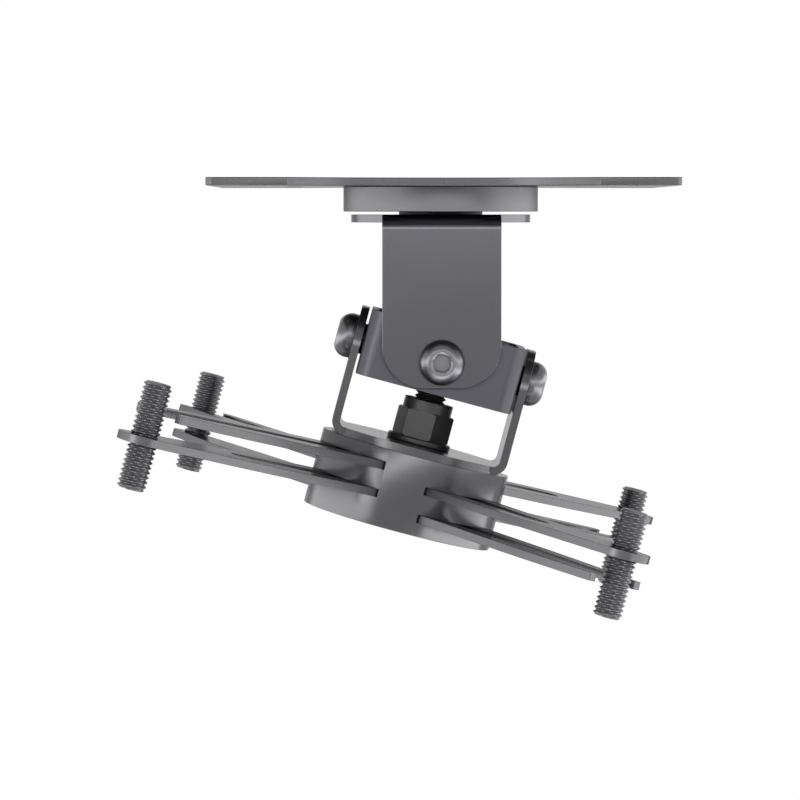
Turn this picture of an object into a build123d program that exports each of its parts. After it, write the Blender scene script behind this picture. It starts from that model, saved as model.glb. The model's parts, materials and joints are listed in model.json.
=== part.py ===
from build123d import *
import math
import os

# Ceiling mount for a projector, in millimetres.
# The origin is the middle of the ceiling plate's top face, +Z up.
# X runs to the viewer's right and Y away from the viewer.

# Sheet and general fits
SHEET = 3.0
BEND_R = 2.5
SLIDE_FIT = 0.1
TURN_FIT = 0.05

# Ceiling plate
PLATE_W = 172.0
PLATE_D = 172.0
PLATE_TIP = 29.5
PLATE_WAIST = 27.0
PLATE_CORNER_R = 3.0
CEILING_HOLE_D = 7.0
CEILING_HOLE_PITCH = 142.0
CEILING_SLOT_LEN = 22.0
CEILING_SLOT_X = 56.0

# Swivel boss under the plate
BOSS_D = 73.8
BOSS_H = 9.4
BOSS_SCREW_D = 5.0
BOSS_SCREW_HEAD_D = 9.4
BOSS_SCREW_LEN = 9.0
BOSS_SCREW_PCD = 54.0
BOSS_SCREW_COUNT = 4
SWIVEL_WASHER_D = 31.7
SWIVEL_WASHER_T = 1.1

# Large bolts of the swivel and of the hub
BOLT_D = 12.0
NUT_AF = 19.0
NUT_HEX_H = 10.4
NUT_BEVEL = 0.3
NUT_YAW = -10.0
NUT_COLLAR_D = 18.8
NUT_COLLAR_H = 4.2
NUT_COLLAR_EDGE = 0.4
WASHER_D = 24.4
WASHER_T = 2.4
BOLT_PROUD = 3.0
PAN_HEAD_AF = 18.0
PAN_HEAD_H = 5.0

# Folded yokes
YOKE_BASE_D = 68.0
YOKE_OUTER = 68.0
LEG_W = 44.4
LEG_END_R = 15.5
YOKE_DROP = 55.1
LEG_PAST_PIVOT = 9.6
LOWER_BASE_DROP = 33.3
LOWER_LEG_PAST_PIVOT = 12.4

# Tilt block between the yokes
PIVOT_GAP = 1.0
BLOCK_H = 24.9
BLOCK_WALL = 3.0
BLOCK_CORNER_R = 5.5
TILT = 15.0

# Button-head pivot screws
PIVOT_D = 10.0
PIVOT_HEAD_D = 17.1
PIVOT_HEAD_H = 5.8
PIVOT_HEAD_EDGE = 1.1
PIVOT_HEAD_FLAT_D = 9.6
PIVOT_SOCKET_AF = 6.0
PIVOT_SOCKET_RIM_D = 8.6
PIVOT_SOCKET_DEPTH = 3.2
PIVOT_WASHER_D = 17.0
PIVOT_WASHER_T = 0.9
PIVOT_SPACER_D = 11.8
PIVOT_NUT_AF = 16.0
PIVOT_NUT_H = 8.0
PIVOT_TIP = 2.0

# Hub built up from four grooved discs and a base, one arm to a groove
HUB_D = 72.7
HUB_H = 28.95
HUB_EDGE = 0.4
HUB_YAW = -3.5
LEVEL_COUNT = 4
FIRST_LEVEL_DROP = 6.35
LEVEL_PITCH = 5.3
WINDOW_SIDE_GAP = 0.9
HUB_HEAD_D = 20.0
HUB_HEAD_H = 3.5
HUB_HEAD_SOCKET_AF = 8.0
HUB_HEAD_SOCKET_DEPTH = 2.4
BOLT_TIP_BELOW_PIVOT = 7.0

# Sliding arms
ARM_T = 3.0
ARM_LENGTH = 247.9
ARM_MID_W = 36.6
ARM_MID_LENGTH = 112.0
ARM_TAIL_W = 26.4
ARM_TIP_R = 0.6
ARM_MOUTH_LENGTH = 5.5
ARM_MOUTH_FLARE = 4.0
ARM_RING_R = 9.7
ARM_SLOT_STOP = 43.4
ARM_BULGE = 1.6
ARM_REACH = [120.7, 120.6, 130.6, 127.8]
ARM_TURN = [45.0, -45.0, 225.0, 135.0]

# Hollow threaded studs
STUD_D = 10.8
STUD_BORE_D = 6.0
STUD_LENGTH = 39.7
STUD_TOP_BELOW_PIVOT = 32.0
STUD_EDGE = 0.8

# Heights that follow from the stack
PLATE_BOTTOM_Z = -SHEET
BOSS_BOTTOM_Z = PLATE_BOTTOM_Z - BOSS_H
YOKE_TOP_Z = BOSS_BOTTOM_Z - SWIVEL_WASHER_T
PIVOT_Z = YOKE_TOP_Z - YOKE_DROP
BLOCK_W = YOKE_OUTER - 2 * SHEET - 2 * PIVOT_GAP
LOWER_BASE_TOP = -LOWER_BASE_DROP
HUB_TOP = LOWER_BASE_TOP - SHEET
HUB_BOTTOM = HUB_TOP - HUB_H

TOP = (Align.CENTER, Align.CENTER, Align.MAX)
BOTTOM = (Align.CENTER, Align.CENTER, Align.MIN)


def disc(diameter, height, at_z, hangs=True):
    """A round disc whose top (or bottom) face is at a height."""
    return Pos(0, 0, at_z) * Cylinder(diameter / 2, height, align=TOP if hangs else BOTTOM)


def hexagon(across_flats, height):
    """A hexagonal prism standing on z = 0."""
    return extrude(RegularPolygon(across_flats / math.sqrt(3), 6), height)


def washer(outer_d, inner_d, thickness, edge=0.0):
    """A flat ring standing on z = 0, with its outer edges rounded."""
    ring = Cylinder(outer_d / 2, thickness, align=BOTTOM)
    if edge:
        ring = fillet(ring.edges(), edge)
    return ring - Cylinder(inner_d / 2, 3 * thickness)


def lock_nut(across_flats, hex_height, collar_d, collar_height, bore_d):
    """A lock nut standing on z = 0: chamfered hexagon and round collar."""
    corner_r = across_flats / math.sqrt(3)
    flat_r = across_flats / 2
    bevel = (corner_r - flat_r) * NUT_BEVEL
    blank = Cylinder(corner_r, hex_height, align=BOTTOM)
    blank = chamfer(blank.edges(), bevel, bevel * 1.4)
    nut = hexagon(across_flats, hex_height) & blank
    if collar_height:
        collar = Cylinder(collar_d / 2, hex_height + collar_height, align=BOTTOM)
        nut += fillet(collar.edges().group_by(Axis.Z)[-1], NUT_COLLAR_EDGE)
    return nut - Cylinder(bore_d / 2, 4 * hex_height)


def button_screw():
    """A button-head screw: head underside on z = 0, shank down."""
    head_r = PIVOT_HEAD_D / 2
    flat_r = PIVOT_HEAD_FLAT_D / 2
    rise = PIVOT_HEAD_H - PIVOT_HEAD_EDGE
    middle = (flat_r + (head_r - flat_r) * 0.68, PIVOT_HEAD_EDGE + rise * 0.64)
    with BuildPart() as screw:
        with BuildSketch(Plane.XZ):
            with BuildLine():
                Polyline((0, 0), (head_r, 0), (head_r, PIVOT_HEAD_EDGE))
                ThreePointArc((head_r, PIVOT_HEAD_EDGE), middle, (flat_r, PIVOT_HEAD_H))
                Polyline((flat_r, PIVOT_HEAD_H), (0, PIVOT_HEAD_H), (0, 0))
            make_face()
        revolve(axis=Axis.Z)
    rim_depth = (PIVOT_SOCKET_RIM_D - PIVOT_SOCKET_AF) / 4
    rim = Cone(PIVOT_SOCKET_AF / 2, PIVOT_SOCKET_RIM_D / 2, rim_depth, align=TOP)
    socket = hexagon(PIVOT_SOCKET_AF, PIVOT_SOCKET_DEPTH)
    shank_length = pivot_head_seat() - pivot_tip_distance()
    shank = Cylinder(PIVOT_D / 2, shank_length, align=TOP)
    shank = chamfer(shank.edges().group_by(Axis.Z)[0], PIVOT_D * 0.08)
    head = screw.part - Pos(0, 0, PIVOT_HEAD_H) * rim
    head -= Pos(0, 0, PIVOT_HEAD_H - PIVOT_SOCKET_DEPTH) * socket
    return head + shank


def pivot_head_seat():
    """Distance from the pivot centre to the underside of a screw head."""
    return YOKE_OUTER / 2 + PIVOT_WASHER_T


def pivot_nut_seat():
    """Distance from the pivot centre to the block wall's inner face."""
    return BLOCK_W / 2 - BLOCK_WALL


def pivot_tip_distance():
    """Distance from the pivot centre to the end of a screw."""
    return pivot_nut_seat() - PIVOT_NUT_H - PIVOT_TIP


def folded_yoke(base_d, leg_length, pin_from_base):
    """One folded sheet: round base with its outer face on z = 0 and two legs down at +Y and -Y."""
    inside = YOKE_OUTER - 2 * SHEET
    strap = Box(LEG_W, YOKE_OUTER, leg_length, align=TOP)
    outer_bends = strap.edges().filter_by(Axis.X).group_by(Axis.Z)[-1]
    strap = fillet(outer_bends, BEND_R + SHEET)
    hollow = Box(LEG_W * 2, inside, leg_length, align=TOP)
    inner_bends = hollow.edges().filter_by(Axis.X).group_by(Axis.Z)[-1]
    hollow = Pos(0, 0, -SHEET) * fillet(inner_bends, BEND_R)
    strap -= hollow
    ends = Box(LEG_W, YOKE_OUTER * 2, leg_length, align=TOP)
    end_corners = ends.edges().filter_by(Axis.Y).group_by(Axis.Z)[0]
    strap &= fillet(end_corners, LEG_END_R)
    flat_to_flat = inside - 2 * BEND_R
    base = disc(base_d, SHEET, 0) & Box(base_d * 2, flat_to_flat, SHEET * 4)
    yoke = strap + base
    pin = Cylinder(PIVOT_D / 2 + TURN_FIT, YOKE_OUTER * 2, rotation=(90, 0, 0))
    yoke -= Pos(0, 0, -pin_from_base) * pin
    return yoke - Cylinder(BOLT_D / 2 + TURN_FIT, SHEET * 4)


def plate_outline():
    """Square plate whose front and back edges are hollowed by an arc."""
    half_w = PLATE_W / 2
    half_d = PLATE_D / 2
    arc_end = half_w - PLATE_TIP
    with BuildSketch() as outline:
        with BuildLine():
            for side in (1, -1):
                Polyline((side * -half_w, side * -half_d), (side * -arc_end, side * -half_d))
                ThreePointArc((side * -arc_end, side * -half_d), (0, side * (PLATE_WAIST - half_d)),
                              (side * arc_end, side * -half_d))
                Polyline((side * arc_end, side * -half_d), (side * half_w, side * -half_d),
                         (side * half_w, side * half_d))
        make_face()
        corners = [v for v in outline.vertices() if abs(v.X) > arc_end + 1]
        fillet(corners, PLATE_CORNER_R)
    return outline.sketch


def boss_screw_places():
    return PolarLocations(BOSS_SCREW_PCD / 2, BOSS_SCREW_COUNT, start_angle=45)


def boss_screw():
    """A countersunk screw whose flat head lies in the plate's top face."""
    head_depth = (BOSS_SCREW_HEAD_D - BOSS_SCREW_D) / 2
    head = Cone(BOSS_SCREW_D / 2, BOSS_SCREW_HEAD_D / 2, head_depth, align=TOP)
    shank = Cylinder(BOSS_SCREW_D / 2, BOSS_SCREW_LEN, align=TOP)
    return head + shank


def ceiling_plate():
    plate = extrude(plate_outline(), -SHEET)
    pitch = CEILING_HOLE_PITCH
    for spot in GridLocations(pitch, pitch, 2, 2):
        plate -= spot * Cylinder(CEILING_HOLE_D / 2, SHEET * 4)
    slot = extrude(SlotOverall(CEILING_SLOT_LEN, CEILING_HOLE_D), SHEET * 2, both=True)
    plate -= Pos(CEILING_SLOT_X, 0, 0) * slot
    plate -= Pos(-CEILING_SLOT_X, 0, 0) * Rot(0, 0, 90) * slot
    for spot in boss_screw_places():
        plate -= spot * boss_screw()
    return plate


def swivel_boss():
    boss = disc(BOSS_D, BOSS_H, PLATE_BOTTOM_Z)
    pocket = hexagon(PAN_HEAD_AF, PAN_HEAD_H)
    boss -= Pos(0, 0, PLATE_BOTTOM_Z - PAN_HEAD_H) * pocket
    boss -= Cylinder(BOLT_D / 2, BOSS_H * 4)
    for spot in boss_screw_places():
        boss -= spot * boss_screw()
    return boss


def pan_stack():
    """Bolt, washers and lock nut that hold the upper yoke under the boss."""
    head_bottom = PLATE_BOTTOM_Z - PAN_HEAD_H
    washer_top = YOKE_TOP_Z - SHEET
    nut_top = washer_top - WASHER_T
    tip = nut_top - NUT_HEX_H - NUT_COLLAR_H - BOLT_PROUD
    bolt = Pos(0, 0, head_bottom) * hexagon(PAN_HEAD_AF, PAN_HEAD_H)
    bolt += disc(BOLT_D, head_bottom - tip, head_bottom)
    swivel = Pos(0, 0, YOKE_TOP_Z) * washer(SWIVEL_WASHER_D, BOLT_D, SWIVEL_WASHER_T)
    under = Pos(0, 0, nut_top) * washer(WASHER_D, BOLT_D, WASHER_T, WASHER_T * 0.25)
    nut = lock_nut(NUT_AF, NUT_HEX_H, NUT_COLLAR_D, NUT_COLLAR_H, BOLT_D)
    nut = Pos(0, 0, nut_top) * Rot(180, 0, 0) * nut
    return {"pan_bolt": bolt, "swivel_washer": swivel, "pan_nut_washer": under, "pan_lock_nut": nut}


def upper_yoke():
    leg_length = YOKE_DROP + LEG_PAST_PIVOT
    return Pos(0, 0, YOKE_TOP_Z) * folded_yoke(YOKE_BASE_D, leg_length, YOKE_DROP)


def lower_yoke():
    """The same fold with its legs up at left and right, round base flush with the hub."""
    drop = LOWER_BASE_DROP + SHEET
    leg_length = drop + LOWER_LEG_PAST_PIVOT
    return Pos(0, 0, -drop) * Rot(0, 0, 90) * Rot(180, 0, 0) * folded_yoke(HUB_D, leg_length, drop)


def tilt_block():
    """A square ring of bent sheet with a hole for a pivot screw in each wall."""
    bore = BLOCK_W - 2 * BLOCK_WALL
    ring = extrude(RectangleRounded(BLOCK_W, BLOCK_W, BLOCK_CORNER_R), BLOCK_H / 2, both=True)
    bore_r = BLOCK_CORNER_R - BLOCK_WALL
    ring -= extrude(RectangleRounded(bore, bore, bore_r), BLOCK_H, both=True)
    ring -= Cylinder(PIVOT_D / 2, BLOCK_W * 2, rotation=(90, 0, 0))
    return ring - Cylinder(PIVOT_D / 2, BLOCK_W * 2, rotation=(0, 90, 0))


def pivot_sets():
    """A screw, head washer, spacer and nut on each of the four sides."""
    turns = {"front": Rot(90, 0, 0), "back": Rot(-90, 0, 0), "left": Rot(0, -90, 0), "right": Rot(0, 90, 0)}
    nut = lock_nut(PIVOT_NUT_AF, PIVOT_NUT_H, 0, 0, PIVOT_D)
    pieces = {}
    for side, turn in turns.items():
        head_washer = washer(PIVOT_WASHER_D, PIVOT_D, PIVOT_WASHER_T, PIVOT_WASHER_T * 0.3)
        spacer = washer(PIVOT_SPACER_D, PIVOT_D, PIVOT_GAP)
        pieces["pivot_screw_" + side] = turn * Pos(0, 0, pivot_head_seat()) * button_screw()
        pieces["pivot_washer_" + side] = turn * Pos(0, 0, YOKE_OUTER / 2) * head_washer
        pieces["pivot_spacer_" + side] = turn * Pos(0, 0, BLOCK_W / 2) * spacer
        pieces["pivot_nut_" + side] = turn * Pos(0, 0, pivot_nut_seat() - PIVOT_NUT_H) * nut
    return pieces


def level_height(level):
    """Mid height of an arm's level, below the pivot."""
    return HUB_TOP - FIRST_LEVEL_DROP - level * LEVEL_PITCH


def window_bottom(level):
    """Height of a window's lower face, below the pivot."""
    return level_height(level) - ARM_T / 2 - SLIDE_FIT


def hub_pieces():
    """Four discs, each grooved underneath for one arm, and a base that closes the last groove."""
    groove = Box(HUB_D * 2, ARM_MID_W + 2 * WINDOW_SIDE_GAP, ARM_T + 2 * SLIDE_FIT, align=BOTTOM)
    hole = Cylinder(BOLT_D / 2, HUB_H * 8)
    pieces = {}
    top = HUB_TOP
    for level in range(LEVEL_COUNT):
        bottom = window_bottom(level)
        grooved = disc(HUB_D, top - bottom, top)
        grooved -= Pos(0, 0, bottom) * Rot(0, 0, ARM_TURN[level] + HUB_YAW) * groove
        pieces["hub_disc_%d" % (level + 1)] = grooved - hole
        top = bottom
    base = disc(HUB_D, top - HUB_BOTTOM, top)
    base = chamfer(base.edges().group_by(Axis.Z)[0], HUB_EDGE)
    base -= disc(HUB_HEAD_D + 2 * SLIDE_FIT, HUB_HEAD_H, HUB_BOTTOM, hangs=False)
    pieces["hub_base"] = base - hole
    return pieces


def hub_stack():
    """Bolt from under the hub, with the washer and lock nut on the lower yoke."""
    seat = HUB_BOTTOM + HUB_HEAD_H
    head = disc(HUB_HEAD_D, HUB_HEAD_H, seat)
    head = chamfer(head.edges().group_by(Axis.Z)[0], HUB_HEAD_H * 0.15)
    head -= Pos(0, 0, HUB_BOTTOM) * hexagon(HUB_HEAD_SOCKET_AF, HUB_HEAD_SOCKET_DEPTH)
    shank = disc(BOLT_D, -BOLT_TIP_BELOW_PIVOT - seat, seat, hangs=False)
    shank = chamfer(shank.edges().group_by(Axis.Z)[-1], BOLT_D * 0.08)
    ring = washer(WASHER_D, BOLT_D, WASHER_T, WASHER_T * 0.3)
    nut = lock_nut(NUT_AF, NUT_HEX_H, NUT_COLLAR_D, NUT_COLLAR_H, BOLT_D)
    return {
        "hub_bolt": head + shank,
        "hub_washer": Pos(0, 0, LOWER_BASE_TOP) * ring,
        "hub_lock_nut": Pos(0, 0, LOWER_BASE_TOP + WASHER_T) * Rot(0, 0, NUT_YAW) * nut,
    }


def arm_outline():
    """Arm seen from above, stud ring centred on the origin and tail towards -X."""
    tail_x = -ARM_LENGTH
    middle_x = tail_x / 2
    tail_y = ARM_TAIL_W / 2
    mid_y = ARM_MID_W / 2
    wide_end = middle_x + ARM_MID_LENGTH / 2
    wide_start = middle_x - ARM_MID_LENGTH / 2
    neck = ((wide_end) / 2, (mid_y + ARM_RING_R) / 2 + ARM_BULGE)
    tail_curve = ((wide_start + tail_x) / 2, (mid_y + tail_y) / 2 + ARM_BULGE)
    with BuildSketch() as outline:
        with BuildLine():
            ThreePointArc((0, -ARM_RING_R), (ARM_RING_R, 0), (0, ARM_RING_R))
            for side in (1, -1):
                ThreePointArc((0, side * ARM_RING_R), (neck[0], side * neck[1]), (wide_end, side * mid_y))
                Line((wide_end, side * mid_y), (wide_start, side * mid_y))
                ThreePointArc((wide_start, side * mid_y), (tail_curve[0], side * tail_curve[1]),
                              (tail_x, side * tail_y))
            Line((tail_x, tail_y), (tail_x, -tail_y))
        make_face()
        slot_w = BOLT_D + 2 * TURN_FIT
        slot_end = -ARM_SLOT_STOP
        with Locations((slot_end - slot_w / 2, 0)):
            Circle(slot_w / 2, mode=Mode.SUBTRACT)
        with Locations((slot_end - slot_w / 2, 0)):
            Rectangle(ARM_LENGTH, slot_w, align=(Align.MAX, Align.CENTER), mode=Mode.SUBTRACT)
        mouth_y = slot_w / 2 + ARM_MOUTH_FLARE
        throat_x = tail_x + ARM_MOUTH_LENGTH
        with BuildLine():
            Polyline((tail_x, mouth_y), (throat_x, slot_w / 2), (throat_x, -slot_w / 2), (tail_x, -mouth_y),
                     (tail_x, mouth_y))
        make_face(mode=Mode.SUBTRACT)
        tips = [v for v in outline.vertices() if v.X < tail_x + 0.5]
        fillet(tips, ARM_TIP_R)
        Circle(STUD_D / 2 + TURN_FIT, mode=Mode.SUBTRACT)
    return outline.sketch


def arm_place(level):
    """Where the stud ring of an arm lies, as seen from the hub axis."""
    return Rot(0, 0, ARM_TURN[level] + HUB_YAW) * Pos(ARM_REACH[level], 0, 0)


def arm(level):
    flat = extrude(arm_outline(), ARM_T / 2, both=True)
    return Pos(0, 0, level_height(level)) * arm_place(level) * flat


def stud(level):
    """A hollow stud, its thread taken at the crest diameter."""
    body = Cylinder(STUD_D / 2, STUD_LENGTH, align=TOP)
    body = chamfer(body.edges(), STUD_EDGE)
    body -= Cylinder(STUD_BORE_D / 2, STUD_LENGTH * 3)
    return Pos(0, 0, -STUD_TOP_BELOW_PIVOT) * arm_place(level) * body


def tilted(shape):
    """Hang a piece drawn about the pivot centre, at the tilt it is shown at."""
    return Pos(0, 0, PIVOT_Z) * Rot(0, TILT, 0) * shape


def all_pieces():
    pieces = {"ceiling_plate": ceiling_plate(), "swivel_boss": swivel_boss()}
    screws = [spot * boss_screw() for spot in boss_screw_places()]
    pieces["boss_screws"] = Compound(children=screws)
    pieces.update(pan_stack())
    pieces["upper_yoke"] = upper_yoke()
    hung = {"tilt_block": tilt_block(), "lower_yoke": lower_yoke()}
    hung.update(pivot_sets())
    hung.update(hub_pieces())
    hung.update(hub_stack())
    for level in range(LEVEL_COUNT):
        hung["arm_%d" % (level + 1)] = arm(level)
        hung["stud_%d" % (level + 1)] = stud(level)
    for name, shape in hung.items():
        pieces[name] = tilted(shape)
    return pieces


os.makedirs("parts", exist_ok=True)
for name, shape in all_pieces().items():
    export_step(shape, "parts/" + name + ".step")
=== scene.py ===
# %% [markdown]
# # A ceiling mount for a projector, dressed in Blender
#
# The mount is a flat plate under the ceiling, a swivel, two folded yokes round
# a square block, and a round hub that four flat arms slide through. Each arm
# ends in a hollow threaded stud. The construction is loaded first, as a frame
# that stays as it is. Everything below gives it its finish and its fine detail.

# %% Load the construction
import bpy
import bmesh
import json
import math
from mathutils import Matrix, Vector


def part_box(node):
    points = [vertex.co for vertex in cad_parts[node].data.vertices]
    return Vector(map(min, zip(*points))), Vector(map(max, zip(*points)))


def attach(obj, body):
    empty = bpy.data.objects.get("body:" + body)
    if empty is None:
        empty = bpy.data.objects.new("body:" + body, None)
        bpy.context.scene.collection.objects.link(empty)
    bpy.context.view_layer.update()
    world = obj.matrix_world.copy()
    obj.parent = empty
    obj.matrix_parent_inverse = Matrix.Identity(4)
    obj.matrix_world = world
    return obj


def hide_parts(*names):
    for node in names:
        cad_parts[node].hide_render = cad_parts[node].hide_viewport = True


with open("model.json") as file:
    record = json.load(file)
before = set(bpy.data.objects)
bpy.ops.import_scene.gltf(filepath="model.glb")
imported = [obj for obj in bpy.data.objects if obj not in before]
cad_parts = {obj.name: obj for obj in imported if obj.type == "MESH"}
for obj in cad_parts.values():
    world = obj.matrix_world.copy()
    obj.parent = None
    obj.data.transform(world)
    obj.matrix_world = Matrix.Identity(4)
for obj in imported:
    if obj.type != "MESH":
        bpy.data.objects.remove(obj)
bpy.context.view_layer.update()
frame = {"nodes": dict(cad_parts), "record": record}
MM = 0.001
TILT = math.radians(15.0)
PIVOT = Vector((0.0, 0.0, -68.6 * MM))

# %% [markdown]
# ## Camera
#
# The photograph was taken from far away with a long lens, just under the
# ceiling plate and a little to the left of the swivel. Lines that run away
# from the viewer meet at one point of the picture, and that point is straight
# ahead of the lens. We keep the camera unshifted and turn it slightly instead,
# so that other views can reuse it.

# %% Camera from the vanishing point
PICTURE = 800
FOCAL_PX = 4400.0
MM_PER_PX = 0.38
VANISHING_PX = (380.0, 215.0)
SWIVEL_AXIS_PX = 440.6
CAMERA_BELOW_CEILING = 13.7 * MM

distance = FOCAL_PX * MM_PER_PX * MM
camera_x = (VANISHING_PX[0] - SWIVEL_AXIS_PX) * MM_PER_PX * MM
camera_data = bpy.data.cameras.new("camera")
camera_data.sensor_width = 36.0
camera_data.lens = FOCAL_PX / PICTURE * camera_data.sensor_width
camera = bpy.data.objects.new("camera", camera_data)
bpy.context.scene.collection.objects.link(camera)
camera.location = (camera_x, -distance, -CAMERA_BELOW_CEILING)
ahead = Vector((PICTURE / 2 - VANISHING_PX[0], FOCAL_PX, VANISHING_PX[1] - PICTURE / 2))
camera.rotation_mode = "QUATERNION"
camera.rotation_quaternion = ahead.to_track_quat("-Z", "Y")
bpy.context.scene.camera = camera
print("camera", [round(c, 4) for c in camera.location], "lens", round(camera_data.lens, 1), "mm")

# %% [markdown]
# ## Shader maths as Python
#
# A material is a graph of nodes, and long sums of Math nodes are hard to read.
# One small class wraps a socket, so that `a * 0.5 + b` adds the Math nodes for
# us, and its reflected forms let a plain number come first, as in `1 - mask`.
# A second helper makes any other node from its type, settings and inputs.

# %% A socket that can be added and multiplied
class Value:
    def __init__(self, graph, socket):
        self.graph = graph
        self.socket = socket

    def math(self, operation, other):
        node = self.graph.node("ShaderNodeMath", {"operation": operation}, [self, other])
        return Value(self.graph, node.outputs[0])

    def __add__(self, other):
        return self.math("ADD", other)

    def __sub__(self, other):
        return self.math("SUBTRACT", other)

    def __mul__(self, other):
        return self.math("MULTIPLY", other)

    __radd__ = __add__
    __rmul__ = __mul__

    def __rsub__(self, other):
        return self * -1.0 + other


# %% A graph that makes nodes
class Graph:
    def __init__(self, name):
        self.material = bpy.data.materials.new(name)
        self.material.use_nodes = True
        self.tree = self.material.node_tree
        self.surface = self.tree.nodes["Principled BSDF"]

    def node(self, kind, settings=None, inputs=()):
        made = self.tree.nodes.new(kind)
        for key, value in (settings or {}).items():
            setattr(made, key, value)
        pairs = inputs.items() if isinstance(inputs, dict) else enumerate(inputs)
        for key, value in pairs:
            self.plug(made.inputs[key], value)
        return made

    def plug(self, socket, value):
        if isinstance(value, Value):
            self.tree.links.new(value.socket, socket)
        elif isinstance(value, bpy.types.NodeSocket):
            self.tree.links.new(value, socket)
        else:
            socket.default_value = value

    def noise(self, scale, detail):
        """Noise over Object coordinates, about 0.5 in the middle."""
        coordinates = self.node("ShaderNodeTexCoord").outputs["Object"]
        inputs = {"Vector": coordinates, "Scale": scale, "Detail": detail}
        return Value(self, self.node("ShaderNodeTexNoise", inputs=inputs).outputs[0])

    def mix(self, amount, first, second):
        colours = {"data_type": "RGBA"}
        made = self.node("ShaderNodeMix", colours, {0: amount, 6: first, 7: second})
        return made.outputs[2]

    def bump(self, height, depth, strength):
        inputs = {"Height": height, "Distance": depth, "Strength": strength}
        self.plug(self.surface.inputs["Normal"], self.node("ShaderNodeBump", inputs=inputs).outputs[0])


# %% Colours are written as they look on a screen
def screen(red, green, blue):
    """Screen values from 0 to 1, turned into the linear values that shaders use."""
    def linear(c):
        return c / 12.92 if c <= 0.04045 else ((c + 0.055) / 1.055) ** 2.4
    return (linear(red), linear(green), linear(blue), 1.0)


def shade(colour, factor):
    return tuple(c * factor for c in colour[:3]) + (1.0,)


# %% [markdown]
# ## Finishes
#
# The big pieces carry a satin grey coat over steel: smooth, metallic, with a
# very fine orange-peel texture from the spray and faint clouds in its tone.
# The bolts, nuts, spacers and large washers are blackened, and the screw
# heads, their washers and the studs are plated. Colours are written low,
# because the lamps add their reflections on top of them.

# %% Satin coat
CLOUD = 0.05
CLOUD_SCALE = 22.0
CLOUD_TONES = (0.93, 1.07)
CLOUD_ROUGH = 0.06
GRAIN_SCALE = 1400.0
GRAIN_ROUGH = 0.03
PEEL_SCALE = 900.0
PEEL = 0.0008 * MM
PEEL_STRENGTH = 0.4


def satin_coat(name, colour, rough, edge=0.6, metal=1.0):
    graph = Graph(name)
    surface = graph.surface
    cloudy = graph.noise(CLOUD_SCALE, 3.0)
    fine = graph.noise(GRAIN_SCALE, 1.0)
    patch = 0.5 + CLOUD * (cloudy - 0.5)
    dark, pale = [shade(colour, tone) for tone in CLOUD_TONES]
    graph.plug(surface.inputs["Base Color"], graph.mix(patch, dark, pale))
    surface.inputs["Metallic"].default_value = metal
    surface.inputs["Specular Tint"].default_value = (edge, edge, edge, 1.0)
    unevenness = GRAIN_ROUGH * (fine - 0.5) + CLOUD_ROUGH * (cloudy - 0.5)
    graph.plug(surface.inputs["Roughness"], rough + unevenness)
    graph.bump(graph.noise(PEEL_SCALE, 2.0), PEEL, PEEL_STRENGTH)
    return graph.material


# %% Plated and blackened steel
BLOTCH_SCALE = 90.0
BLOTCH_TONES = (0.85, 1.15)
BLOTCH_ROUGH = 0.10
SCRATCH_SCALE = 500.0
SCRATCH_ROUGH = 0.12
SCRATCH = 0.003 * MM
SCRATCH_STRENGTH = 0.5


def steel(name, colour, rough, metal=1.0):
    graph = Graph(name)
    surface = graph.surface
    lines = graph.noise(SCRATCH_SCALE, 3.0)
    blotch = graph.noise(BLOTCH_SCALE, 3.0)
    dark, pale = [shade(colour, tone) for tone in BLOTCH_TONES]
    graph.plug(surface.inputs["Base Color"], graph.mix(blotch, dark, pale))
    surface.inputs["Metallic"].default_value = metal
    unevenness = SCRATCH_ROUGH * (lines - 0.5) + BLOTCH_ROUGH * (blotch - 0.5)
    graph.plug(surface.inputs["Roughness"], rough + unevenness)
    graph.bump(lines, SCRATCH, SCRATCH_STRENGTH)
    return graph.material


# %% The finishes, one name for each
FINISHES = {
    "folded": satin_coat("satin_folded_sheet", screen(0.315, 0.313, 0.328), 0.24),
    "plate": satin_coat("satin_ceiling_plate", screen(0.275, 0.275, 0.28), 0.28),
    "boss": satin_coat("satin_boss", screen(0.37, 0.37, 0.375), 0.42),
    "turned": satin_coat("satin_turned_steel", screen(0.315, 0.315, 0.322), 0.23, metal=0.8),
    "block": satin_coat("satin_block", screen(0.285, 0.282, 0.30), 0.34),
    "arm": satin_coat("satin_arm", screen(0.345, 0.345, 0.353), 0.26, edge=0.4, metal=0.8),
    "black": steel("black_oxide", screen(0.17, 0.17, 0.175), 0.42, metal=0.5),
    "washer": steel("black_washer", screen(0.22, 0.22, 0.225), 0.42, metal=0.5),
    "nut": steel("black_nut", screen(0.235, 0.235, 0.24), 0.42, metal=0.3),
    "bright": steel("plated_screw", screen(0.385, 0.385, 0.40), 0.34),
    "stud": steel("plated_stud", screen(0.43, 0.43, 0.44), 0.37, metal=0.9),
}
print("finishes:", ", ".join(sorted(FINISHES)))

# %% [markdown]
# ## Dressing the construction
#
# The construction's own meshes are loose triangles with perfectly sharp edges.
# Real sheet and turned parts have a tiny break on every edge, and that break
# is what catches the light. So each piece is copied, its triangles are merged
# back into whole faces, and a Bevel modifier rounds the edges by a fraction of
# a millimetre. The copy then stands for the original.

# %% Merge, bevel and smooth a copy
MERGE_DISTANCE = 0.002 * MM
FLAT_ANGLE = math.radians(0.6)


def merged_mesh(node):
    mesh = frame["nodes"][node].data.copy()
    work = bmesh.new()
    work.from_mesh(mesh)
    bmesh.ops.remove_doubles(work, verts=work.verts, dist=MERGE_DISTANCE)
    bmesh.ops.dissolve_limit(work, angle_limit=FLAT_ANGLE, verts=work.verts, edges=work.edges)
    bmesh.ops.recalc_face_normals(work, faces=work.faces)
    work.to_mesh(mesh)
    work.free()
    return mesh


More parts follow.
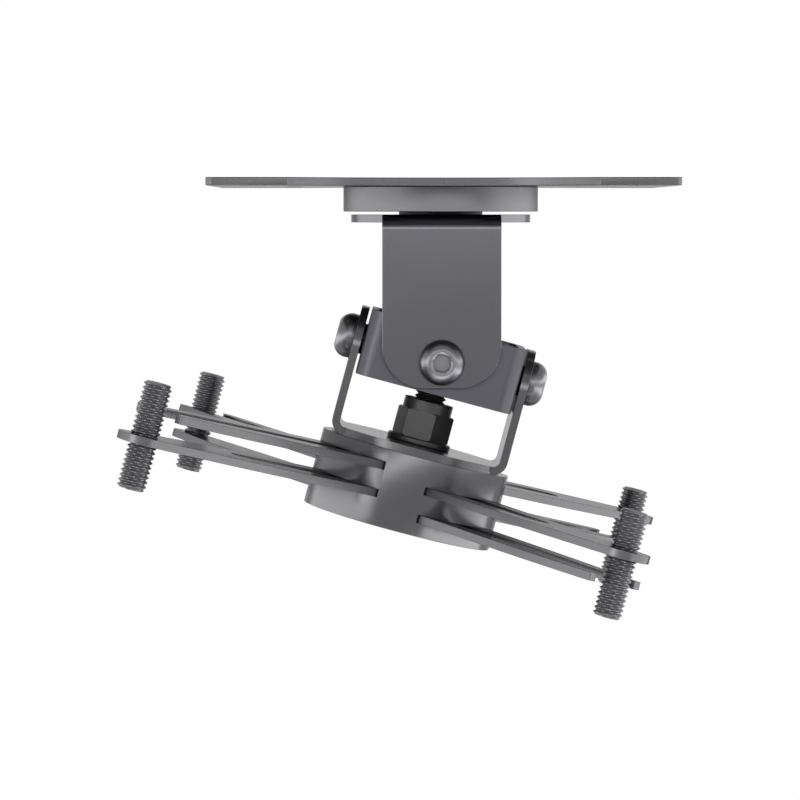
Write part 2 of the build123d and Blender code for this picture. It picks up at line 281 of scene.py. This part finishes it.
def plain_mesh(piece):
    """Apply the modifiers of a piece and keep only the resulting mesh."""
    graph = bpy.context.evaluated_depsgraph_get()
    mesh = bpy.data.meshes.new_from_object(piece.evaluated_get(graph), depsgraph=graph)
    piece.modifiers.clear()
    piece.data = mesh
    return mesh


def smooth_faces(mesh, angle=30.0):
    mesh.shade_smooth()
    mesh.set_sharp_from_angle(angle=math.radians(angle))


def painted_object(name, mesh, finish):
    piece = bpy.data.objects.new(name, mesh)
    bpy.context.scene.collection.objects.link(piece)
    mesh.materials.clear()
    mesh.materials.append(FINISHES[finish])
    return piece


def new_piece(name, mesh, finish, body):
    piece = painted_object(name, mesh, finish)
    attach(piece, body)
    return piece


BODY_OF = {}
for body, members in frame["record"]["behaviour"]["bodies"].items():
    for member in members:
        BODY_OF[member] = body


def break_edges(piece, width, angle=35.0):
    """Round the edges of a piece and keep its flat faces shading flat."""
    smooth_faces(piece.data)
    bevel = piece.modifiers.new("edge", "BEVEL")
    bevel.width = width * MM
    bevel.segments = 2
    bevel.limit_method = "ANGLE"
    bevel.angle_limit = math.radians(angle)
    bevel.use_clamp_overlap = True
    bevel.harden_normals = True
    even = piece.modifiers.new("even", "WEIGHTED_NORMAL")
    even.weight = 90
    even.keep_sharp = True
    return plain_mesh(piece)


def dress(node, finish, edge=0.3):
    """A copy of a node with broken edges, standing for that node."""
    piece = painted_object(node + "_dressed", merged_mesh(node), finish)
    break_edges(piece, edge)
    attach(piece, BODY_OF[node])
    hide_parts(node)
    return piece


DRESSED = {
    "ceiling_plate": ("plate", 0.25),
    "swivel_boss": ("boss", 0.3),
    "upper_yoke": ("folded", 0.15),
    "lower_yoke": ("turned", 0.1),
    "tilt_block": ("block", 0.15),
    "hub_washer": ("washer", 0.1),
    "hub_lock_nut": ("nut", 0.15),
    "pan_nut_washer": ("washer", 0.1),
    "pan_lock_nut": ("nut", 0.15),
    "arm_1": ("arm", 0.12),
    "arm_2": ("arm", 0.12),
    "arm_3": ("arm", 0.12),
    "arm_4": ("arm", 0.12),
}
for node, (finish, edge) in DRESSED.items():
    piece = dress(node, finish, edge)
    print(piece.name, len(piece.data.polygons), "faces")

# %% [markdown]
# ## The hub as one turned piece
#
# The construction stacks the hub from four grooved discs and a base, one arm to
# a groove. On the finished hub no joint shows between them. So it is turned
# again here as one cylinder, and Boolean modifiers cut the four windows, the
# bolt hole and the recess for the bolt's head. Every window goes right through,
# and neighbours cross at a right angle.

# %% Turn the hub and cut its windows
HUB_D = 72.7
HUB_TOP = -36.3
HUB_H = 28.95
WINDOW_W = 38.4
WINDOW_H = 3.2
WINDOW_DROPS = (6.35, 11.65, 16.95, 22.25)
WINDOW_TURNS = (41.5, -48.5, 221.5, 131.5)
BOLT_HOLE_D = 12.0
HEAD_RECESS_D = 20.2
HEAD_RECESS_H = 3.5
OVERHANG = 1.0
TILT_TURN = Matrix.Rotation(TILT, 4, "Y")


def round_bar(diameter, low, high, around, edge=0.0):
    work = bmesh.new()
    place = Matrix.Translation((0, 0, (low + high) / 2 * MM))
    radius = diameter / 2 * MM
    bmesh.ops.create_cone(work, cap_ends=True, segments=around, radius1=radius, radius2=radius,
                          depth=(high - low) * MM, matrix=place)
    if edge:
        rims = [e for e in work.edges if abs(e.verts[0].co.z - e.verts[1].co.z) < 0.001 * MM]
        bmesh.ops.bevel(work, geom=rims, offset=edge * MM, segments=3, profile=0.5, affect="EDGES")
    return work


def box_bar(length, width, height, turn, middle):
    work = bmesh.new()
    size = Matrix.Diagonal((length * MM, width * MM, height * MM, 1.0))
    place = Matrix.Translation((0, 0, middle * MM)) @ Matrix.Rotation(math.radians(turn), 4, "Z")
    bmesh.ops.create_cube(work, size=1.0, matrix=place @ size)
    return work


def cut_away(piece, cutter_work):
    mesh = bpy.data.meshes.new("cutter")
    cutter_work.to_mesh(mesh)
    cutter_work.free()
    cutter = bpy.data.objects.new("cutter", mesh)
    bpy.context.scene.collection.objects.link(cutter)
    cut = piece.modifiers.new("cut", "BOOLEAN")
    cut.operation = "DIFFERENCE"
    cut.solver = "EXACT"
    cut.object = cutter
    plain_mesh(piece)
    bpy.data.objects.remove(cutter)


# %% Put the hub together
HUB_BOTTOM = HUB_TOP - HUB_H
hub_mesh = bpy.data.meshes.new("hub")
turned = round_bar(HUB_D, HUB_BOTTOM, HUB_TOP, 240, 0.2)
turned.to_mesh(hub_mesh)
turned.free()
hub = painted_object("hub_turned", hub_mesh, "turned")
for drop, turn in zip(WINDOW_DROPS, WINDOW_TURNS):
    cut_away(hub, box_bar(HUB_D * 2, WINDOW_W, WINDOW_H, turn, HUB_TOP - drop))
cut_away(hub, round_bar(BOLT_HOLE_D, HUB_BOTTOM - OVERHANG, HUB_TOP + OVERHANG, 64))
cut_away(hub, round_bar(HEAD_RECESS_D, HUB_BOTTOM - OVERHANG, HUB_BOTTOM + HEAD_RECESS_H, 64))
smooth_faces(hub.data, 35.0)
hub.data.transform(Matrix.Translation(PIVOT) @ TILT_TURN)
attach(hub, "hub_body")
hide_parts("hub_disc_1", "hub_disc_2", "hub_disc_3", "hub_disc_4", "hub_base")
print("hub:", len(hub.data.polygons), "faces")

# %% [markdown]
# ## Small pieces that stay as they are
#
# The pivots' washers, spacers and nuts, the boss screws and the swivel washer
# keep their own meshes and only get a finish, because their shapes are already
# complete. The button heads of the pivot screws get broken edges as well.

# %% Finish the carried-over nodes
SIDES = ("front", "back", "left", "right")
KEPT = {"boss_screws": "bright", "swivel_washer": "black"}
for side in SIDES:
    KEPT["pivot_washer_" + side] = "bright"
    KEPT["pivot_spacer_" + side] = "black"
    KEPT["pivot_nut_" + side] = "nut"
for node, finish in KEPT.items():
    mesh = frame["nodes"][node].data
    mesh.materials.clear()
    mesh.materials.append(FINISHES[finish])
for side in SIDES:
    dress("pivot_screw_" + side, "bright", 0.12)
print("kept", len(KEPT), "nodes")

# %% [markdown]
# ## Threads with Geometry Nodes
#
# A screw thread follows a rule: walk round the rod and the V-shaped groove
# climbs by one pitch for each turn. So the thread is a flat grid, rolled up.
# One direction of the grid becomes the angle, the other the height, and the
# radius falls from crest to root as a triangle wave of height plus angle. The
# ends taper down to the root, so plain rings can close them.

# %% Helpers for a Geometry Nodes tree
class Tree:
    def __init__(self, name, sizes):
        self.tree = bpy.data.node_groups.new(name, "GeometryNodeTree")
        self.tree.interface.new_socket("Geometry", in_out="OUTPUT", socket_type="NodeSocketGeometry")
        for label, default in sizes.items():
            kind = "NodeSocketInt" if isinstance(default, int) else "NodeSocketFloat"
            socket = self.tree.interface.new_socket(label, in_out="INPUT", socket_type=kind)
            socket.default_value = default
        self.inputs = self.tree.nodes.new("NodeGroupInput")
        self.output = self.tree.nodes.new("NodeGroupOutput")

    def size(self, label):
        return self.inputs.outputs[label]

    def node(self, kind, settings=None, inputs=()):
        made = self.tree.nodes.new(kind)
        for key, value in (settings or {}).items():
            setattr(made, key, value)
        pairs = inputs.items() if isinstance(inputs, dict) else enumerate(inputs)
        for key, value in pairs:
            if isinstance(value, bpy.types.NodeSocket):
                self.tree.links.new(value, made.inputs[key])
            else:
                made.inputs[key].default_value = value
        return made

    def math(self, operation, *values):
        return self.node("ShaderNodeMath", {"operation": operation}, values).outputs[0]


# %% One surface of revolution from a grid
def rolled(tree, around, along, radius_rule, height_rule, flip=False):
    """A grid rolled round Z: the rules give radius and height from angle and step."""
    grid = tree.node("GeometryNodeMeshGrid", None, {
        "Size X": 1.0, "Size Y": 1.0, "Vertices X": around, "Vertices Y": along})
    place = tree.node("ShaderNodeSeparateXYZ", None, [tree.node("GeometryNodeInputPosition").outputs[0]])
    turn = tree.math("ADD", place.outputs[0], 0.5)
    step = tree.math("ADD", place.outputs[1], 0.5)
    angle = tree.math("MULTIPLY", turn, math.tau)
    radius = radius_rule(turn, step)
    x = tree.math("MULTIPLY", radius, tree.math("COSINE", angle))
    y = tree.math("MULTIPLY", radius, tree.math("SINE", angle))
    spot = tree.node("ShaderNodeCombineXYZ", None, [x, y, height_rule(turn, step)]).outputs[0]
    moved = tree.node("GeometryNodeSetPosition", None, {"Geometry": grid.outputs[0], "Position": spot})
    if not flip:
        return moved.outputs[0]
    return tree.node("GeometryNodeFlipFaces", None, [moved.outputs[0]]).outputs[0]


# %% The thread tree
AROUND = 49
STEPS_PER_TURN = 9.0
CREST_FLAT = 0.09
FLANK_SLOPE = 1.22
WHOLE_TURNS = 100.0
WELD_DISTANCE = 1e-6


def thread_tree():
    tree = Tree("thread", {"Crest Radius": 0.005, "Root Radius": 0.004, "Bore Radius": 0.003,
                           "Length": 0.04, "Pitch": 0.0018, "Around": AROUND, "Along": 177})
    crest, root, bore = tree.size("Crest Radius"), tree.size("Root Radius"), tree.size("Bore Radius")
    length, pitch = tree.size("Length"), tree.size("Pitch")
    depth = tree.math("SUBTRACT", crest, root)

    def height(turn, step):
        return tree.math("MULTIPLY", step, length)

    def thread_radius(turn, step):
        z = height(turn, step)
        phase = tree.math("SUBTRACT", tree.math("DIVIDE", z, pitch), turn)
        wave = tree.math("PINGPONG", tree.math("ADD", phase, WHOLE_TURNS), 0.5)
        past_crest = tree.math("SUBTRACT", tree.math("MULTIPLY", wave, 2.0), CREST_FLAT)
        slope = tree.math("MULTIPLY", past_crest, FLANK_SLOPE)
        open_v = tree.math("MINIMUM", tree.math("MAXIMUM", slope, 0.0), 1.0)
        groove = tree.math("SUBTRACT", crest, tree.math("MULTIPLY", open_v, depth))
        near_end = tree.math("MINIMUM", z, tree.math("SUBTRACT", length, z))
        taper = tree.math("ADD", root, near_end)
        return tree.math("MINIMUM", groove, taper)

    def ring_radius(turn, step):
        return tree.math("ADD", bore, tree.math("MULTIPLY", step, tree.math("SUBTRACT", root, bore)))

    around = tree.size("Around")
    parts = [
        rolled(tree, around, tree.size("Along"), thread_radius, height),
        rolled(tree, around, 2, lambda turn, step: bore, height, True),
        rolled(tree, around, 2, ring_radius, lambda turn, step: length, True),
        rolled(tree, around, 2, ring_radius, lambda turn, step: 0.0),
    ]
    joined = tree.node("GeometryNodeJoinGeometry")
    for part in parts:
        tree.tree.links.new(part, joined.inputs[0])
    whole = tree.node("GeometryNodeMergeByDistance", None, {
        "Geometry": joined.outputs[0], "Distance": WELD_DISTANCE})
    real = tree.node("GeometryNodeRealizeInstances", None, [whole.outputs[0]])
    painted = tree.node("GeometryNodeSetMaterial", None, {
        "Geometry": real.outputs[0], "Material": FINISHES["stud"]})
    tree.tree.links.new(painted.outputs[0], tree.output.inputs[0])
    return tree.tree


THREAD = thread_tree()
print("thread tree:", len(THREAD.nodes), "nodes")

# %% Run the tree with one set of sizes
THREAD_DEPTH = 1.0


def set_input(modifier, label, value):
    for item in modifier.node_group.interface.items_tree:
        if item.name == label and item.in_out == "INPUT":
            modifier[item.identifier] = value


def threaded_rod(name, diameter, bore, length, pitch):
    """A mesh of a threaded tube that stands on the origin."""
    piece = bpy.data.objects.new(name, bpy.data.meshes.new(name))
    bpy.context.scene.collection.objects.link(piece)
    modifier = piece.modifiers.new("thread", "NODES")
    modifier.node_group = THREAD
    set_input(modifier, "Crest Radius", diameter / 2 * MM)
    set_input(modifier, "Root Radius", (diameter / 2 - THREAD_DEPTH) * MM)
    set_input(modifier, "Bore Radius", bore / 2 * MM)
    set_input(modifier, "Length", length * MM)
    set_input(modifier, "Pitch", pitch * MM)
    set_input(modifier, "Around", AROUND)
    set_input(modifier, "Along", int(length / pitch * STEPS_PER_TURN) + 1)
    mesh = plain_mesh(piece)
    bpy.data.objects.remove(piece)
    repair = bmesh.new()
    repair.from_mesh(mesh)
    bmesh.ops.remove_doubles(repair, verts=repair.verts, dist=WELD_DISTANCE)
    bmesh.ops.recalc_face_normals(repair, faces=repair.faces)
    repair.to_mesh(mesh)
    repair.free()
    smooth_faces(mesh, 25.0)
    return mesh


# %% [markdown]
# ## The four studs
#
# Each stud is a hollow rod, threaded from end to end, and stands in the ring of
# its arm. The construction's box of each stud tells us where it is, and the
# hub's tilt tells us which way it points.

# %% Studs
STUD_D = 10.8
STUD_BORE = 6.0
STUD_LENGTH = 39.7
STUD_PITCH = 1.8


def middle_of(node):
    low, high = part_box(node)
    return (Vector(low) + Vector(high)) / 2


def stand_along_hub_axis(mesh, middle, length):
    """Put a mesh that stands on the origin so that its middle is at a point."""
    place = Matrix.Translation(middle) @ TILT_TURN @ Matrix.Translation((0, 0, -length / 2 * MM))
    mesh.transform(place)


for number in range(1, 5):
    node = "stud_%d" % number
    mesh = threaded_rod(node, STUD_D, STUD_BORE, STUD_LENGTH, STUD_PITCH)
    stand_along_hub_axis(mesh, middle_of(node), STUD_LENGTH)
    piece = new_piece(node + "_threaded", mesh, "stud", BODY_OF[node])
    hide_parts(node)
    print(piece.name, len(mesh.polygons), "faces")

# %% [markdown]
# ## Large bolts
#
# The hub bolt comes up through the lock nut into the open block, and the pan
# bolt hangs below its own nut inside the upper yoke. Both show a few turns of
# coarse thread there, so the rod is cut where that thread begins: a threaded
# length takes its place from there on, and the plain rod and head stay.

# %% Threaded ends of the two bolts
BOLT_D = 12.0
BOLT_PITCH = 1.75
PIN_BORE = 0.02
OVERLAP = 0.01
HUB_BOLT_TOP = -7.0
HUB_THREAD_FROM = -32.0
PAN_BOLT_TIP = -36.5
PAN_THREAD_LENGTH = 18.0


def cut_to_side(mesh, point, normal):
    """Keep the part of a closed mesh behind a plane, and close the cut."""
    work = bmesh.new()
    work.from_mesh(mesh)
    geometry = work.verts[:] + work.edges[:] + work.faces[:]
    cut = bmesh.ops.bisect_plane(work, geom=geometry, plane_co=point, plane_no=normal, clear_outer=True)
    rim = [item for item in cut["geom_cut"] if isinstance(item, bmesh.types.BMEdge)]
    bmesh.ops.holes_fill(work, edges=rim)
    work.to_mesh(mesh)
    work.free()


def bolt_piece(node, thread_mesh, cut_point, cut_normal):
    plain = merged_mesh(node)
    cut_to_side(plain, cut_point, cut_normal)
    both = bmesh.new()
    both.from_mesh(plain)
    both.from_mesh(thread_mesh)
    both.to_mesh(plain)
    both.free()
    smooth_faces(plain, 25.0)
    piece = new_piece(node + "_threaded", plain, "black", BODY_OF[node])
    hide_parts(node)
    return piece


# %% Join each bolt from its plain and its threaded part
hub_thread_length = HUB_BOLT_TOP - HUB_THREAD_FROM
hub_thread = threaded_rod("hub_thread", BOLT_D, PIN_BORE, hub_thread_length, BOLT_PITCH)
hub_thread.transform(Matrix.Translation((0, 0, HUB_THREAD_FROM * MM)))
hub_thread.transform(Matrix.Translation(PIVOT) @ TILT_TURN)
up = TILT_TURN.to_3x3() @ Vector((0, 0, 1))
hub_bolt = bolt_piece("hub_bolt", hub_thread, PIVOT + up * (HUB_THREAD_FROM + OVERLAP) * MM, up)

pan_thread = threaded_rod("pan_thread", BOLT_D, PIN_BORE, PAN_THREAD_LENGTH, BOLT_PITCH)
pan_thread.transform(Matrix.Translation((0, 0, PAN_BOLT_TIP * MM)))
pan_cut = (PAN_BOLT_TIP + PAN_THREAD_LENGTH - OVERLAP) * MM
pan_bolt = bolt_piece("pan_bolt", pan_thread, Vector((0, 0, pan_cut)), Vector((0, 0, -1)))
print("bolts:", len(hub_bolt.data.polygons), len(pan_bolt.data.polygons), "faces")

# %% [markdown]
# ## Room and light
#
# The picture has a plain white background and very soft light. Flat faces get
# darker from top to bottom, so a long strip hangs in front, just above the
# plate. The round hub is darkest where it faces the lens and brightest low at
# its sides, so long boxes stand left and right, level with the reflections of
# the tilted hub, and one more lights the right of the boss. The last lies low
# in front. The room and floor look white to the lens and to reflections, but
# give the object only a little light of their own.

# %% White to the lens and to reflections, plain to the light
def white_rays(nodes, links):
    """1 for a ray that shows the background: from the lens, a gloss or a clear piece."""
    path = nodes.new("ShaderNodeLightPath")
    either = nodes.new("ShaderNodeMath")
    either.operation = "MAXIMUM"
    any_of = nodes.new("ShaderNodeMath")
    any_of.operation = "MAXIMUM"
    links.new(path.outputs["Is Camera Ray"], either.inputs[0])
    links.new(path.outputs["Is Glossy Ray"], either.inputs[1])
    links.new(either.outputs[0], any_of.inputs[0])
    links.new(path.outputs["Is Transmission Ray"], any_of.inputs[1])
    return any_of.outputs[0]


def backdrop_material():
    material = bpy.data.materials.new("pale_backdrop")
    material.use_nodes = True
    nodes, links = material.node_tree.nodes, material.node_tree.links
    nodes.clear()
    matte = nodes.new("ShaderNodeBsdfDiffuse")
    matte.inputs[0].default_value = (0.8, 0.8, 0.8, 1.0)
    glow = nodes.new("ShaderNodeEmission")
    glow.inputs[1].default_value = 1.0
    both = nodes.new("ShaderNodeMixShader")
    out = nodes.new("ShaderNodeOutputMaterial")
    links.new(white_rays(nodes, links), both.inputs[0])
    links.new(matte.outputs[0], both.inputs[1])
    links.new(glow.outputs[0], both.inputs[2])
    links.new(both.outputs[0], out.inputs[0])
    return material


def flat_sheet(name, corners, material):
    mesh = bpy.data.meshes.new(name)
    mesh.from_pydata(corners, [], [(0, 1, 2, 3)])
    mesh.materials.append(material)
    sheet = bpy.data.objects.new(name, mesh)
    bpy.context.scene.collection.objects.link(sheet)
    return sheet


PALE = backdrop_material()
FLOOR_Z = -2.6
FLOOR_X = 4.0
FLOOR_NEAR, FLOOR_FAR = -3.0, 4.0
flat_sheet("floor", [(-FLOOR_X, FLOOR_NEAR, FLOOR_Z), (FLOOR_X, FLOOR_NEAR, FLOOR_Z),
                     (FLOOR_X, FLOOR_FAR, FLOOR_Z), (-FLOOR_X, FLOOR_FAR, FLOOR_Z)], PALE)
print("floor at", FLOOR_Z, "m")

# %% World
ROOM_LIGHT = 0.35
world = bpy.data.worlds.new("studio")
bpy.context.scene.world = world
world.use_nodes = True
world_nodes, world_links = world.node_tree.nodes, world.node_tree.links
world_nodes.clear()
lit = world_nodes.new("ShaderNodeBackground")
lit.inputs[0].default_value = (1.0, 1.0, 1.0, 1.0)
lit.inputs[1].default_value = ROOM_LIGHT
seen = world_nodes.new("ShaderNodeBackground")
seen.inputs[0].default_value = (1.0, 1.0, 1.0, 1.0)
seen.inputs[1].default_value = 1.0
choice = world_nodes.new("ShaderNodeMixShader")
world_out = world_nodes.new("ShaderNodeOutputWorld")
world_links.new(white_rays(world_nodes, world_links), choice.inputs[0])
world_links.new(lit.outputs[0], choice.inputs[1])
world_links.new(seen.outputs[0], choice.inputs[2])
world_links.new(choice.outputs[0], world_out.inputs[0])
print("room light on the object:", ROOM_LIGHT)

# %% Soft lamps, all turned to the middle of the mount
AIM = Vector((0.0, 0.0, -0.09))


def soft_lamp(name, place, size, power):
    data = bpy.data.lights.new(name, "AREA")
    data.shape = "RECTANGLE"
    data.size, data.size_y = size
    data.energy = power
    lamp = bpy.data.objects.new(name, data)
    bpy.context.scene.collection.objects.link(lamp)
    lamp.location = place
    lamp.rotation_mode = "QUATERNION"
    lamp.rotation_quaternion = (AIM - Vector(place)).to_track_quat("-Z", "Y")
    return lamp


soft_lamp("front_strip", (0.0, -1.05, 0.13), (3.2, 0.16), 9.0)
soft_lamp("left_box", (-1.4, -0.1, -0.12), (3.2, 0.5), 18.0)
soft_lamp("right_box", (1.4, -0.3, -0.88), (3.4, 0.5), 26.0)
soft_lamp("right_level", (1.4, 0.2, -0.02), (2.4, 0.35), 11.0)
soft_lamp("low_front", (0.0, -0.9, -1.0), (1.2, 0.6), 10.0)

# %% [markdown]
# ## Closing
#
# Colours should come out as they are written, so the plain Standard transform
# is used.

# %% Colour transform
bpy.context.scene.view_settings.view_transform = "Standard"
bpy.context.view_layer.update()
